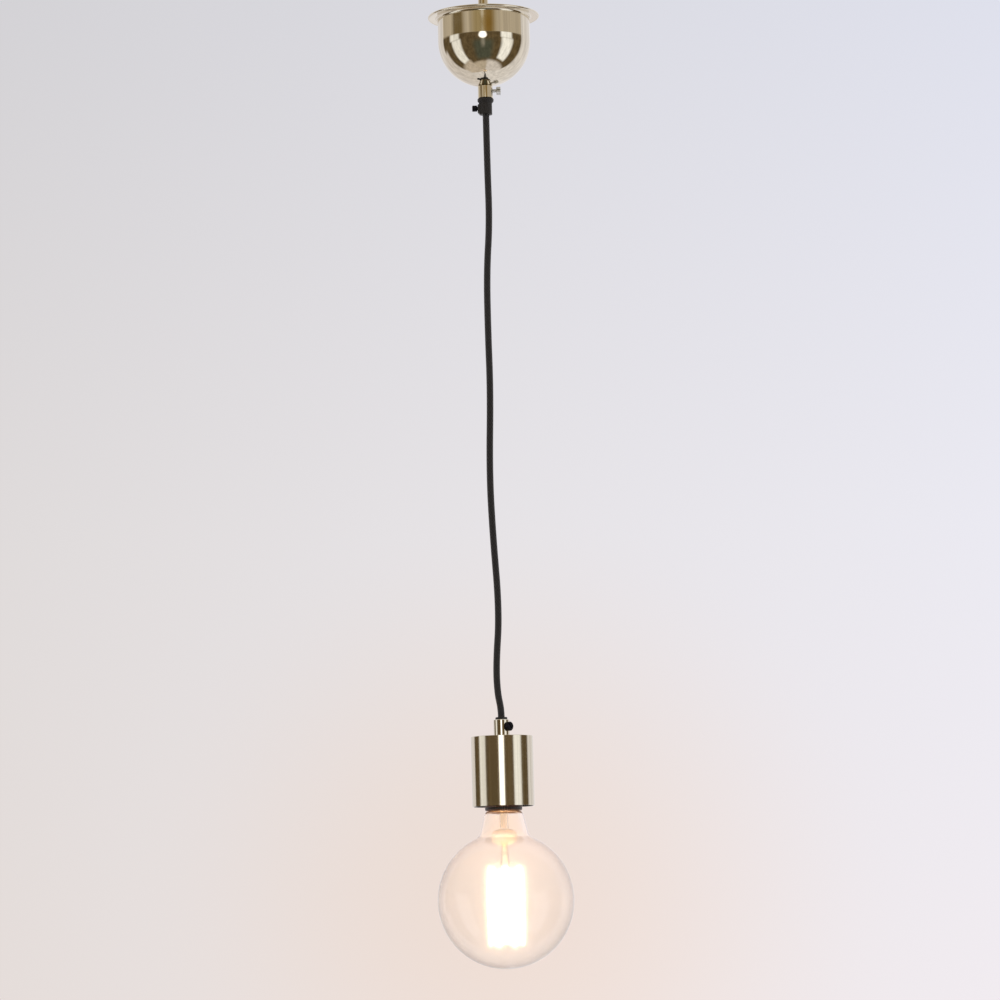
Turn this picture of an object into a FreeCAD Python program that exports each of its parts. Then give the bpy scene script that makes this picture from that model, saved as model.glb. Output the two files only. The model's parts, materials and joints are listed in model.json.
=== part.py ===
import FreeCAD, Part
import math
import os

# Pendant lamp on a fabric cord. From the top: hanging eye and carrier tube, ceiling cup with
# its collar that slides on the tube, cord grip, free cord, second cord grip, lamp cup with the
# lamp holder inside, and a large clear globe bulb. The drop is set by slackening the upper grip.
# Millimetres. +Z is up, +X is to the right seen from the front, -Y points at the viewer.
# The origin is the centre of the hanging eye.

# Clearances
screw_gap = 0.10      # radial, a grip screw in its threaded hole
thread_gap = 0.05     # radial, screwed parts that stay together
slide_gap = 0.10      # radial, what slides along the carrier tube
wire_gap = 0.20       # radial, a cord or core in its hole
turn_gap = 0.25       # radial, the bulb's cap in the holder's thread
tip_gap = 0.15        # a screw's tip before what it presses on
rest_gap = 0.10       # a moving piece above the piece that stops it

# Hanging eye
eye_bore_r = 5.0
eye_ring_r = 10.0
eye_thick = 6.0
eye_round = 1.0
neck_r = 4.7
neck_bottom = 33.0    # below the eye's centre
boss_r = 7.0
boss_h = 14.0
boss_round = 2.0

# Carrier tube
tube_r = 5.0
tube_bore_r = 3.8
tube_thread = 10.0    # length screwed into the hanging eye
window_w = 6.4        # side window for the cores
window_h = 12.0
window_drop = 4.0     # from the eye's boss to the window

# Ceiling cup
rim_drop = 44.0       # from the eye's centre down to the plane of the rim
cup_r = 43.0
cup_wall_h = 24.0     # straight wall, from the rim to the round bottom
cup_sheet = 1.2
flange_r = 52.0
flange_corner = 2.0
bead_r = 1.1          # rolled edge of the flange
flange_dish = 0.5     # how far the flange's underside hollows inside the bead

# Collar with its set screw
collar_r = 7.0
collar_h = 12.0
collar_screw_drop = 5.0
collar_neck = 3.2     # bare shank between the collar and the screw's head
collar_head_r = 3.9
collar_head_h = 4.2
edge = 0.5            # small chamfers on turned parts

# Grip screws
shank_r = 1.75
head_lift = 0.4       # between a screw's head and the part it enters
slot_w = 1.0
slot_deep = 1.2

# Upper cord grip
lip_r = 7.5
lip_h = 4.7
lip_taper = 2.2       # height of the slope under the lip
lip_socket = 4.2      # depth that takes the carrier tube
grip_r = 5.9
grip_h = 10.4
screw_boss_out = 7.6  # from the axis to the boss's face
screw_boss_w = 7.0
screw_boss_cut = 2.4  # slope on the boss's lower corner
screw_boss_top = 1.8  # slope on its upper corner
upper_screw_drop = 4.4
upper_head_r = 2.9
upper_head_h = 4.7

# Cord and cores
cord_r = 3.1
core_r = 1.1
core_ring = 1.5       # how far the cores stand from the cord's centre
core_bend_out = 2.0   # from the carrier tube's wall to a core's second bend
core_fan = 1.1        # how much further apart the cores are at that bend
core_before = 1.0     # straight end of a core before the terminal block
core_in_block = 4.0
jacket_end = 64.0     # below the eye's centre
cord_drop = 562.7     # free height between the two grips

# Terminal block in the ceiling cup
block_l = 26.0        # along Y
block_w = 16.0        # along X
block_h = 12.0
block_x = 14.0
block_pitch = 7.5
entry_r = 1.6
block_screw_r = 1.5
block_screw_tip = 1.0  # how far a screw reaches into its wire hole
block_screw_sunk = 1.0
block_groove = 1.2
block_groove_up = 2.5  # from the wire holes to the grooves between the ways
terminal_slot_w = 0.6
terminal_slot_deep = 0.6

# Lower cord grip: insert, sleeve and screw
insert_r = 5.5
insert_lip = 2.2
insert_body_r = 4.4
insert_deep = 9.0
sleeve_r = 7.35
sleeve_h = 15.5
sleeve_screw_drop = 6.6
sleeve_screw_turn = -42.0   # degrees from +X, towards the viewer
lower_head_r = 4.2
lower_head_h = 3.5

# Lamp cup and what hangs it
lamp_r = 28.5
lamp_h = 64.0
lamp_sheet = 1.2
lamp_edge = 0.3
nipple_r = 5.0
nipple_bore_r = 3.6
nipple_grip = 5.0     # length screwed into the sleeve
washer_r = 9.0
washer_h = 1.2
nut_flats = 14.0
nut_h = 4.0

# Lamp holder for a 27 mm screw cap
holder_r = 17.8
holder_wall = 1.8
holder_out = 4.0      # how far the holder's ring shows below the lamp cup
skirt_h = 34.0
mouth_r = 15.5
mouth_h = 3.0
ring_groove = 0.8
dome_h = 18.0
dome_neck_r = 8.0
dome_neck_h = 8.0
carrier_h = 10.5
carrier_gap = 0.3
holder_screw_x = 9.0
holder_screw_y = 6.0
holder_screw_r = 1.6
holder_screw_l = 4.5
holder_hole_deep = 5.0
holder_head_r = 2.7
holder_head_h = 1.4
holder_slot_w = 0.8
holder_slot_deep = 0.7
holder_core_y = -3.0
core_hole_deep = 6.0  # holes of the contact carrier that take the cores
core_in_hole = 5.0
shell_r = 14.2
shell_wall = 0.85
shell_h = 26.0
shell_up = 3.0        # from the holder's mouth to the thread shell
contact_w = 7.0
contact_sheet = 0.6
contact_end = 10.0          # end of the centre contact's foot, from the axis
contact_bend = 6.0          # where the foot turns down to the bulb
contact_touch = 2.5         # start of the flat that the bulb's tip meets
contact_lip = 4.0           # end of that flat, past the axis
contact_skew = 0.2          # shift of the lower side's bends, which keeps the sheet's thickness
side_contact_gap = 0.5      # between the side contact and the thread shell
side_contact_foot = 4.0
side_contact_clear = 4.0    # above the bulb cap's shoulder
lower_jacket_end = 3.2      # jacket's end above the nipple's end
lower_core_x = 1.3          # half of the distance between the two cores
lower_core_rise = 4.2       # from the contact carrier up to the first bend
lower_core_bend = 2.2       # and to the second

# Bulb
bulb_length = 175.0
globe_r = 62.5
glass_wall = 0.9
cap_length = 25.5
cap_wall = 0.4
cap_shoulder = 6.5
cap_cone = 2.5
cap_cone_r = 9.4
insulator_h = 2.0     # how deep the black glass sits in the cap's cone
insulator_slope = 2.0
insulator_rim = 0.6   # black glass round the solder tip
tip_r = 4.5
tip_h = 1.4
tip_slope = 0.8
tip_slope_w = 1.3
seat_depth = 30.7     # from the holder's mouth up to the bulb's tip
glass_in_cap = 1.5
throat_r = 12.4
shoulder_drop = 0.5   # glass shoulder below the holder's ring
shoulder_round = 4.2
neck_top_r = 18.3
neck_flare = 13.0     # degrees off the vertical
neck_fillet = 9.0
stem_r = 4.0
stem_gap = 0.3        # between the stem's flare and the glass throat
stem_disc_r = 12.0
stem_disc_h = 13.0
stem_disc_drop = 22.0       # from the cap's edge down to the disc's top
stem_cone_h = 3.0     # below the disc, down to the centre rod
stem_wall = 1.0
stem_rod_r = 2.2
low_rod_r = 1.5
button_r = 3.5
button_h = 8.0
button_drop = 12.0    # from the disc's bottom down to the button's middle
cage_r = 15.0
cage_h = 69.0
cage_drop = 57.5      # from the cap's edge down to the cage's top
filament_r = 0.9
filament_bars = 12
hook_r = 0.3
hook_root = 2.6       # from the stem's axis to the sealed end of a hook
hook_rise = 1.0       # from a button's middle or the cage's bottom to a hook's root
hook_short = 1.3      # the hooks stop this far before the filament's middle line
lead_r = 0.4
lead_root = 0.45      # where a lead leaves the disc, as a share of its end's place
lead_sunk = 1.5       # how deep a lead is sealed in the disc
lead_gap = 0.2
low_button_r = 2.4

# Heights that follow from the sizes above
rim_z = -rim_drop
boss_top_z = -neck_bottom
boss_bottom_z = boss_top_z - boss_h
cup_dome_z = rim_z - cup_wall_h
cup_hole_r = tube_r + slide_gap
collar_top_z = cup_dome_z - math.sqrt(cup_r ** 2 - cup_hole_r ** 2)
collar_bottom_z = collar_top_z - collar_h
lip_top_z = collar_bottom_z - rest_gap
lip_bottom_z = lip_top_z - lip_h
exit_z = lip_bottom_z - grip_h
tube_top_z = boss_bottom_z + tube_thread
tube_bottom_z = lip_top_z - lip_socket
window_top_z = boss_bottom_z - window_drop
jacket_z = -jacket_end
insert_top_z = exit_z - cord_drop
sleeve_top_z = insert_top_z - insert_lip
lamp_top_z = sleeve_top_z - sleeve_h
lamp_bottom_z = lamp_top_z - lamp_h
mouth_z = lamp_bottom_z - holder_out
skirt_top_z = mouth_z + skirt_h
dome_neck_z = skirt_top_z + dome_h
dome_top_z = dome_neck_z + dome_neck_h
nipple_top_z = lamp_top_z + nipple_grip
nipple_bottom_z = dome_neck_z
lower_jacket_z = nipple_bottom_z + lower_jacket_end
tip_z = mouth_z + seat_depth
cap_edge_z = tip_z - cap_length
globe_z = tip_z - bulb_length + globe_r
shoulder_z = mouth_z - shoulder_drop
stem_flare_r = throat_r - glass_wall - stem_gap
upper_screw_z = lip_bottom_z - upper_screw_drop
collar_screw_z = collar_top_z - collar_screw_drop
sleeve_screw_z = sleeve_top_z - sleeve_screw_drop

UP = FreeCAD.Vector(0, 0, 1)
OUT = FreeCAD.Vector(1, 0, 0)


def point(x, y, z):
    return FreeCAD.Vector(x, y, z)


def on_circle(centre, radius, degrees):
    """A point (r, z) on a circle in the plane of a profile."""
    turn = math.radians(degrees)
    return (centre[0] + radius * math.cos(turn), centre[1] + radius * math.sin(turn))


def arc(centre, radius, first, last):
    """A profile step: an arc from angle first to angle last, as (point on it, end)."""
    return (on_circle(centre, radius, (first + last) / 2), on_circle(centre, radius, last))


def profile(start, steps):
    """A closed face in the XZ plane. A step is an end (r, z), or an arc's (point on it, end)."""
    edges = []
    here = point(start[0], 0, start[1])
    first = here
    for step in steps:
        if isinstance(step[0], tuple):
            middle, end = [point(r, 0, z) for r, z in step]
            edges.append(Part.Arc(here, middle, end).toShape())
        else:
            end = point(step[0], 0, step[1])
            edges.append(Part.makeLine(here, end))
        here = end
    if here.distanceToPoint(first) > 1e-6:
        edges.append(Part.makeLine(here, first))
    return Part.Face(Part.Wire(edges))


def turned(start, steps):
    """A profile turned about the vertical axis."""
    return profile(start, steps).revolve(point(0, 0, 0), UP, 360)


def rod(radius, bottom, top, x=0.0, y=0.0):
    return Part.makeCylinder(radius, top - bottom, point(x, y, bottom), UP)


def bar(radius, start, end):
    """A round bar between two points."""
    along = end - start
    return Part.makeCylinder(radius, along.Length, start, along)


def box(low, high):
    return Part.makeBox(high[0] - low[0], high[1] - low[1], high[2] - low[2], point(*low))


def plate(outline, width):
    """A flat piece with a side outline (x, z) and a width along Y."""
    corners = [point(x, -width / 2, z) for x, z in outline]
    return Part.Face(Part.makePolygon(corners + corners[:1])).extrude(point(0, width, 0))


def route_wire(points):
    """Straight runs joined by tangent arcs, each as large as its two runs allow."""
    edges = []
    radii = []
    here = points[0]
    for before, corner, after in zip(points, points[1:], points[2:]):
        way_in = corner - before
        way_out = after - corner
        half_turn = way_in.getAngle(way_out) / 2
        back = 0.45 * min(way_in.Length, way_out.Length)
        radii.append(back / math.tan(half_turn))
        way_in.normalize()
        way_out.normalize()
        first = corner - way_in * back
        last = corner + way_out * back
        inward = (way_out - way_in).normalize()
        to_centre = radii[-1] / math.cos(half_turn)
        middle = corner + inward * (to_centre - radii[-1])
        edges.append(Part.LineSegment(here, first).toShape())
        edges.append(Part.Arc(first, middle, last).toShape())
        here = last
    edges.append(Part.LineSegment(here, points[-1]).toShape())
    return Part.Wire(edges), radii


def tube_along(name, points, radius):
    """A solid round tube along a route. Prints its radii and compares its volume."""
    wire, radii = route_wire(points)
    ring = Part.Wire([Part.makeCircle(radius, points[0], points[1] - points[0])])
    solid = wire.makePipeShell([ring], True, True)
    expected = math.pi * radius ** 2 * wire.Length
    print(f"{name}: length {wire.Length:.1f}, smallest radius {min(radii):.1f},"
          f" volume {solid.Volume / expected:.4f} of section times length")
    print(f"{name}: radii", [round(r) for r in radii])
    return solid


def grip_screw(centre, way, shank_from, head_at, head_r, head_h):
    """A slotted screw along way, with distances from centre to the shank's tip and the head."""
    shank = Part.makeCylinder(shank_r, head_at - shank_from + edge, centre + way * shank_from, way)
    head = Part.makeCylinder(head_r, head_h, centre + way * head_at, way)
    head = head.makeChamfer(edge, head.Edges[:1] + head.Edges[2:3])
    reach = head_at + head_h
    slot = Part.makeBox(2 * head_r, slot_w, slot_deep, point(-head_r, -slot_w / 2, -slot_deep))
    slot.Placement = FreeCAD.Placement(centre + way * reach, FreeCAD.Rotation(UP, way))
    return head.fuse(shank).cut(slot).removeSplitter()


# Hanger, tube and ceiling cup

def hanging_eye():
    ring = Part.makeCylinder(eye_ring_r, eye_thick, point(0, -eye_thick / 2, 0), point(0, 1, 0))
    ring = ring.makeFillet(eye_round, [e for e in ring.Edges if e.Closed])
    stem = turned(
        (0, -eye_bore_r - eye_round),
        [
            arc((0, -eye_bore_r - eye_round - neck_r), neck_r, 90, 0),
            (neck_r, boss_top_z),
            arc((boss_r - boss_round, boss_top_z - boss_round), boss_round, 90, 0),
            (boss_r, boss_bottom_z + edge),
            (boss_r - edge, boss_bottom_z),
            (tube_r + thread_gap, boss_bottom_z),
            (tube_r + thread_gap, tube_top_z),
            (0, tube_top_z),
        ],
    )
    hole = Part.makeCylinder(eye_bore_r, eye_thick, point(0, -eye_thick / 2, 0), point(0, 1, 0))
    return ring.fuse(stem).cut(hole).removeSplitter()


def carrier_tube():
    tube = rod(tube_r, tube_bottom_z, tube_top_z).cut(rod(tube_bore_r, tube_bottom_z, tube_top_z))
    window = box(
        (0, -window_w / 2, window_top_z - window_h),
        (tube_r + 1, window_w / 2, window_top_z),
    )
    return tube.cut(window)


def ceiling_cup():
    inner_r = cup_r - cup_sheet
    bead = (flange_r - bead_r, rim_z - bead_r)
    under_z = rim_z - 2 * bead_r + flange_dish
    hole_outer_deg = -math.degrees(math.acos(cup_hole_r / cup_r))
    hole_inner_deg = -math.degrees(math.acos(cup_hole_r / inner_r))
    under_bead = on_circle(bead, bead_r, 225)
    return turned(
        on_circle((0, cup_dome_z), inner_r, hole_inner_deg),
        [
            on_circle((0, cup_dome_z), cup_r, hole_outer_deg),
            arc((0, cup_dome_z), cup_r, hole_outer_deg, 0),
            (cup_r, under_z - flange_corner),
            arc((cup_r + flange_corner, under_z - flange_corner), flange_corner, 180, 90),
            under_bead,
            arc(bead, bead_r, 225, 360),
            arc(bead, bead_r, 0, 90),
            (inner_r + cup_sheet, rim_z),
            arc((inner_r + cup_sheet, rim_z - cup_sheet), cup_sheet, 90, 180),
            (inner_r, cup_dome_z),
            arc((0, cup_dome_z), inner_r, 0, hole_inner_deg),
        ],
    )


def cup_collar():
    body = turned(
        (cup_hole_r, collar_top_z),
        [
            (collar_r - edge, collar_top_z),
            (collar_r, collar_top_z - edge),
            (collar_r, collar_bottom_z + edge),
            (collar_r - edge, collar_bottom_z),
            (cup_hole_r, collar_bottom_z),
        ],
    )
    hole = Part.makeCylinder(shank_r + screw_gap, collar_r + 1, point(0, 0, collar_screw_z), OUT)
    return body.cut(hole)


def collar_screw():
    centre = point(0, 0, collar_screw_z)
    head_at = collar_r + collar_neck
    return grip_screw(centre, OUT, tube_r + tip_gap, head_at, collar_head_r, collar_head_h)


# Upper cord grip

def upper_grip_body():
    lip = turned(
        (0, lip_bottom_z),
        [
            (grip_r, lip_bottom_z),
            (lip_r, lip_bottom_z + lip_taper),
            (lip_r, lip_top_z - edge),
            (lip_r - edge, lip_top_z),
            (0, lip_top_z),
        ],
    )
    body = rod(grip_r, exit_z, lip_bottom_z)
    outline = [
        (0, lip_bottom_z),
        (0, exit_z),
        (-screw_boss_out + screw_boss_cut, exit_z),
        (-screw_boss_out, exit_z + screw_boss_cut),
        (-screw_boss_out, lip_bottom_z - screw_boss_top),
        (-screw_boss_out + screw_boss_top, lip_bottom_z),
    ]
    boss = plate(outline, screw_boss_w)
    cord_hole = rod(cord_r + wire_gap, exit_z, lip_top_z)
    socket = rod(tube_r + thread_gap, lip_top_z - lip_socket, lip_top_z)
    screw_hole = Part.makeCylinder(
        shank_r + screw_gap, screw_boss_out, point(0, 0, upper_screw_z), -OUT
    )
    return lip.fuse([body, boss]).cut([cord_hole, socket, screw_hole]).removeSplitter()


def upper_grip_screw():
    centre = point(0, 0, upper_screw_z)
    head_at = screw_boss_out + head_lift
    return grip_screw(centre, -OUT, cord_r + tip_gap, head_at, upper_head_r, upper_head_h)


def cord_upper():
    return rod(cord_r, exit_z, jacket_z)


# Cores and terminal block in the ceiling cup

def core_start(turn_deg):
    turn = math.radians(turn_deg)
    return core_ring * math.cos(turn), core_ring * math.sin(turn)


def block_entry_z():
    return window_top_z - window_h / 3


def upper_core(name, turn_deg, place, lift=0.0):
    """A core from the cord's jacket, up and out of the window, and into the terminal block.

    The bends' heights differ by tenths, so no three points are in line.
    """
    x, y = core_start(turn_deg)
    end_y = place * block_pitch
    z = block_entry_z()
    return tube_along(
        name,
        [
            point(x, y, jacket_z),
            point(x, y, z + lift),
            point(tube_r + core_bend_out, core_fan * y, z + 0.3 + lift),
            point(block_x - core_before, end_y, z + 0.1),
            point(block_x + core_in_block, end_y, z),
        ],
        core_r,
    )


def terminal_places():
    return [place * block_pitch for place in (-1, 0, 1)]


def terminal_block():
    z = block_entry_z()
    body = box(
        (block_x, -block_l / 2, z - block_h / 2), (block_x + block_w, block_l / 2, z + block_h / 2)
    )
    body = body.makeChamfer(edge, body.Edges)
    holes = []
    for y in terminal_places():
        holes.append(Part.makeCylinder(entry_r, block_w, point(block_x, y, z), OUT))
        holes.append(rod(block_screw_r + screw_gap, z, z + block_h / 2, block_x + block_w / 2, y))
    gap = block_pitch / 2
    for y in (-gap, gap):
        low = (block_x, y - block_groove / 2, z + block_groove_up)
        holes.append(box(low, (block_x + block_w, y + block_groove / 2, z + block_h)))
    return body.cut(holes)


def terminal_screws():
    z = block_entry_z()
    top = z + block_h / 2 - block_screw_sunk
    x = block_x + block_w / 2
    side = terminal_slot_w / 2
    screws = []
    for y in terminal_places():
        screw = rod(block_screw_r, z + entry_r - block_screw_tip, top, x, y)
        low = (x - block_screw_r, y - side, top - terminal_slot_deep)
        slot = box(low, (x + block_screw_r, y + side, top))
        screws.append(screw.cut(slot))
    return Part.makeCompound(screws)


# Free cord. Its points are offsets to the right and distances below the exit.

cord_route = [
    (0.0, 0.0),
    (0.0, 47.7),
    (0.8, 101.7),
    (-3.0, 148.7),
    (-3.2, 204.7),
    (-2.4, 260.7),
    (-5.2, 334.7),
    (-3.7, 390.7),
    (0.7, 465.7),
    (-3.5, 513.7),
    (-3.0, 539.7),
    (0.0, 555.2),
    (0.0, cord_drop),
]


def cord():
    points = [point(x, 0, exit_z - below) for x, below in cord_route]
    return tube_along("cord", points, cord_r)


# Lower cord grip

def sleeve_screw_way():
    turn = math.radians(sleeve_screw_turn)
    return point(math.cos(turn), math.sin(turn), 0)


def sleeve_screw_hole():
    centre = point(0, 0, sleeve_screw_z)
    return Part.makeCylinder(shank_r + screw_gap, sleeve_r + 1, centre, sleeve_screw_way())


def lower_grip_insert():
    bottom = sleeve_top_z - insert_deep
    body = turned(
        (cord_r + wire_gap, insert_top_z),
        [
            (insert_r - edge, insert_top_z),
            (insert_r, insert_top_z - edge),
            (insert_r, sleeve_top_z),
            (insert_body_r, sleeve_top_z),
            (insert_body_r, bottom),
            (cord_r + wire_gap, bottom),
        ],
    )
    return body.cut(sleeve_screw_hole())


def lower_grip_sleeve():
    body = turned(
        (insert_body_r + thread_gap, sleeve_top_z),
        [
            (sleeve_r - edge, sleeve_top_z),
            (sleeve_r, sleeve_top_z - edge),
            (sleeve_r, lamp_top_z + edge),
            (sleeve_r - edge, lamp_top_z),
            (nipple_r + thread_gap, lamp_top_z),
            (nipple_r + thread_gap, nipple_top_z),
            (insert_body_r + thread_gap, nipple_top_z),
        ],
    )
    return body.cut(sleeve_screw_hole())


def lower_grip_screw():
    centre = point(0, 0, sleeve_screw_z)
    way = sleeve_screw_way()
    head_at = sleeve_r + head_lift
    return grip_screw(centre, way, cord_r + tip_gap, head_at, lower_head_r, lower_head_h)


def cord_lower():
    return rod(cord_r, lower_jacket_z, insert_top_z)


# Lamp cup and its fixing

def nipple():
    tube = rod(nipple_r, nipple_bottom_z, nipple_top_z)
    return tube.cut(rod(nipple_bore_r, nipple_bottom_z, nipple_top_z))


def lamp_cup():
    inner_r = lamp_r - lamp_sheet
    hole_r = nipple_r + thread_gap
    return turned(
        (hole_r, lamp_top_z),
        [
            (lamp_r - lamp_edge, lamp_top_z),
            arc((lamp_r - lamp_edge, lamp_top_z - lamp_edge), lamp_edge, 90, 0),
            (lamp_r, lamp_bottom_z),
            (inner_r, lamp_bottom_z),
            (inner_r, lamp_top_z - lamp_sheet),
            (hole_r, lamp_top_z - lamp_sheet),
        ],
    )


def cup_washer():
    top = lamp_top_z - lamp_sheet
    ring = rod(washer_r, top - washer_h, top)
    return ring.cut(rod(nipple_r + thread_gap, top - washer_h, top))


def cup_nut():
    top = lamp_top_z - lamp_sheet - washer_h
    corner = nut_flats / math.sqrt(3)
    points = []
    for k in range(7):
        turn = math.radians(60 * k)
        points.append(point(corner * math.cos(turn), corner * math.sin(turn), top - nut_h))
    nut = Part.Face(Part.makePolygon(points)).extrude(point(0, 0, nut_h))
    return nut.cut(rod(nipple_r + thread_gap, top - nut_h, top))


# Lamp holder

def holder_dome():
    outer = holder_r - dome_neck_r
    round_z = dome_neck_z - outer
    inner_r = holder_r - holder_wall
    inner = outer - holder_wall
    bore = nipple_r + thread_gap
    return turned(
        (bore, dome_top_z),
        [
            (dome_neck_r - edge, dome_top_z),
            (dome_neck_r, dome_top_z - edge),
            (dome_neck_r, dome_neck_z),
            arc((dome_neck_r, round_z), outer, 90, 0),
            (holder_r, skirt_top_z),
            (inner_r, skirt_top_z),
            (inner_r, round_z),
            arc((dome_neck_r, round_z), inner, 0, 90),
            (bore, round_z + inner),
        ],
    )


def holder_skirt():
    bore = shell_r + thread_gap
    return turned(
        (bore, skirt_top_z),
        [
            (holder_r, skirt_top_z),
            (holder_r, mouth_z + holder_out),
            (holder_r - ring_groove, mouth_z + holder_out - ring_groove),
            (holder_r - ring_groove, mouth_z + ring_groove),
            (holder_r - 2 * ring_groove, mouth_z),
            (mouth_r, mouth_z),
            (mouth_r, mouth_z + mouth_h - (mouth_r - bore)),
            (bore, mouth_z + mouth_h),
        ],
    )


def contact_carrier():
    radius = holder_r - holder_wall - carrier_gap
    body = rod(radius, skirt_top_z, skirt_top_z + carrier_h)
    body = body.makeChamfer(edge, [e for e in body.Edges if e.Closed])
    top = skirt_top_z + carrier_h
    cuts = []
    for side in (-1, 1):
        x = side * holder_screw_x
        cuts.append(rod(core_r + wire_gap, top - core_hole_deep, top, x, holder_core_y))
        low = top - holder_hole_deep
        cuts.append(rod(holder_screw_r + thread_gap, low, top, x, holder_screw_y))
    return body.cut(cuts)


def holder_screws():
    seat = skirt_top_z + carrier_h
    top = seat + holder_head_h
    y = holder_screw_y
    side_y = holder_slot_w / 2
    screws = []
    for side in (-1, 1):
        x = side * holder_screw_x
        head = rod(holder_head_r, seat, top, x, y)
        shank = rod(holder_screw_r, seat - holder_screw_l, seat, x, y)
        low = (x - holder_head_r, y - side_y, top - holder_slot_deep)
        slot = box(low, (x + holder_head_r, y + side_y, top))
        screws.append(head.fuse(shank).cut(slot))
    return Part.makeCompound(screws)


def thread_shell():
    bottom = mouth_z + shell_up
    return rod(shell_r, bottom, bottom + shell_h).cut(
        rod(shell_r - shell_wall, bottom, bottom + shell_h)
    )


def centre_contact():
    low = tip_z + rest_gap
    top = skirt_top_z
    return plate(
        [
            (-contact_end, top),
            (-contact_bend, top),
            (contact_touch, low + contact_sheet),
            (contact_lip, low + contact_sheet),
            (contact_lip, low),
            (contact_touch - contact_skew, low),
            (-contact_bend - contact_skew, top - contact_sheet),
            (-contact_end, top - contact_sheet),
        ],
        contact_w,
    )


def side_contact():
    outer = shell_r - shell_wall - side_contact_gap
    top = skirt_top_z
    low = tip_z - cap_shoulder + side_contact_clear
    return plate(
        [
            (outer - side_contact_foot, top),
            (outer, top),
            (outer, low),
            (outer - contact_sheet, low),
            (outer - contact_sheet, top - contact_sheet),
            (outer - side_contact_foot, top - contact_sheet),
        ],
        contact_w / 2,
    )


def lower_core(name, side):
    x = side * lower_core_x
    top = skirt_top_z + carrier_h
    return tube_along(
        name,
        [
            point(x, 0, lower_jacket_z),
            point(x, 0, top + lower_core_rise),
            point(side * holder_screw_x, holder_core_y, top + lower_core_bend),
            point(side * holder_screw_x, holder_core_y, top - core_in_hole),
        ],
        core_r,
    )


# Bulb

def neck_round():
    """The fillet between neck and globe: at most half of the neck's straight line."""
    lean = math.radians(neck_flare)
    start_r = neck_top_r - shoulder_round + shoulder_round * math.cos(lean)
    start_z = shoulder_z - shoulder_round + shoulder_round * math.sin(lean) - globe_z
    half = start_r * math.sin(lean) - start_z * math.cos(lean)
    line = -half - math.sqrt(half ** 2 - start_r ** 2 - start_z ** 2 + globe_r ** 2)
    return min(neck_fillet, line / 2)


def bulb_side(inset):
    """Profile steps of the glass from the throat to the pole, moved inwards by inset."""
    shoulder = (neck_top_r - shoulder_round, shoulder_z - shoulder_round)
    corner = shoulder_round - inset
    lean = math.radians(neck_flare)
    start = on_circle(shoulder, corner, neck_flare)
    fillet = neck_round() + inset
    ball = globe_r - inset
    # The fillet's centre is beside the neck's line and touches the globe from outside
    base_r = start[0] + fillet * math.cos(lean)
    base_z = start[1] + fillet * math.sin(lean) - globe_z
    way_r = math.sin(lean)
    way_z = -math.cos(lean)
    half = base_r * way_r + base_z * way_z
    rest = base_r ** 2 + base_z ** 2 - (ball + fillet) ** 2
    run = -half - math.sqrt(half ** 2 - rest)
    fillet_centre = (base_r + way_r * run, base_z + globe_z + way_z * run)
    toward_deg = math.degrees(math.atan2(fillet_centre[1] - globe_z, fillet_centre[0]))
    neck_end = (start[0] + way_r * run, start[1] + way_z * run)
    return [
        (shoulder[0], shoulder[1] + corner),
        arc(shoulder, corner, 90, neck_flare),
        neck_end,
        arc(fillet_centre, fillet, 180 + neck_flare, 180 + toward_deg),
        arc((0, globe_z), ball, toward_deg, -90),
    ]


def bulb_glass():
    top = cap_edge_z + glass_in_cap
    outer = bulb_side(0)
    inner = bulb_side(glass_wall)
    body = turned((0, top), [(throat_r, top), (throat_r, outer[0][1])] + outer)
    hollow = turned(
        (0, top),
        [(throat_r - glass_wall, top), (throat_r - glass_wall, inner[0][1])] + inner,
    )
    return body.cut(hollow)


def cap_radius():
    return shell_r - shell_wall - turn_gap


def bulb_cap():
    outer = cap_radius()
    shoulder = tip_z - cap_shoulder
    cone_z = tip_z - cap_cone
    return turned(
        (outer, cap_edge_z),
        [
            (outer, shoulder),
            (cap_cone_r, cone_z),
            (cap_cone_r - 2 * cap_wall, cone_z),
            (outer - cap_wall, shoulder - cap_wall),
            (outer - cap_wall, cap_edge_z),
        ],
    )


def bulb_insulator():
    cone_z = tip_z - cap_cone
    cone_r = cap_cone_r - 2 * cap_wall
    return turned(
        (0, cone_z - insulator_h),
        [
            (cone_r - insulator_slope, cone_z - insulator_h),
            (cone_r, cone_z),
            (tip_r + insulator_rim, tip_z - tip_h),
            (0, tip_z - tip_h),
        ],
    )


def bulb_tip():
    low = tip_z - tip_h + rest_gap
    return turned(
        (0, low),
        [(tip_r, low), (tip_r, tip_z - tip_slope), (tip_r - tip_slope_w, tip_z), (0, tip_z)],
    )


def stem_levels():
    disc_top = cap_edge_z - stem_disc_drop
    disc_bottom = disc_top - stem_disc_h
    button = disc_bottom - button_drop
    cage_top = cap_edge_z - cage_drop
    return disc_top, disc_bottom, button, cage_top


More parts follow.
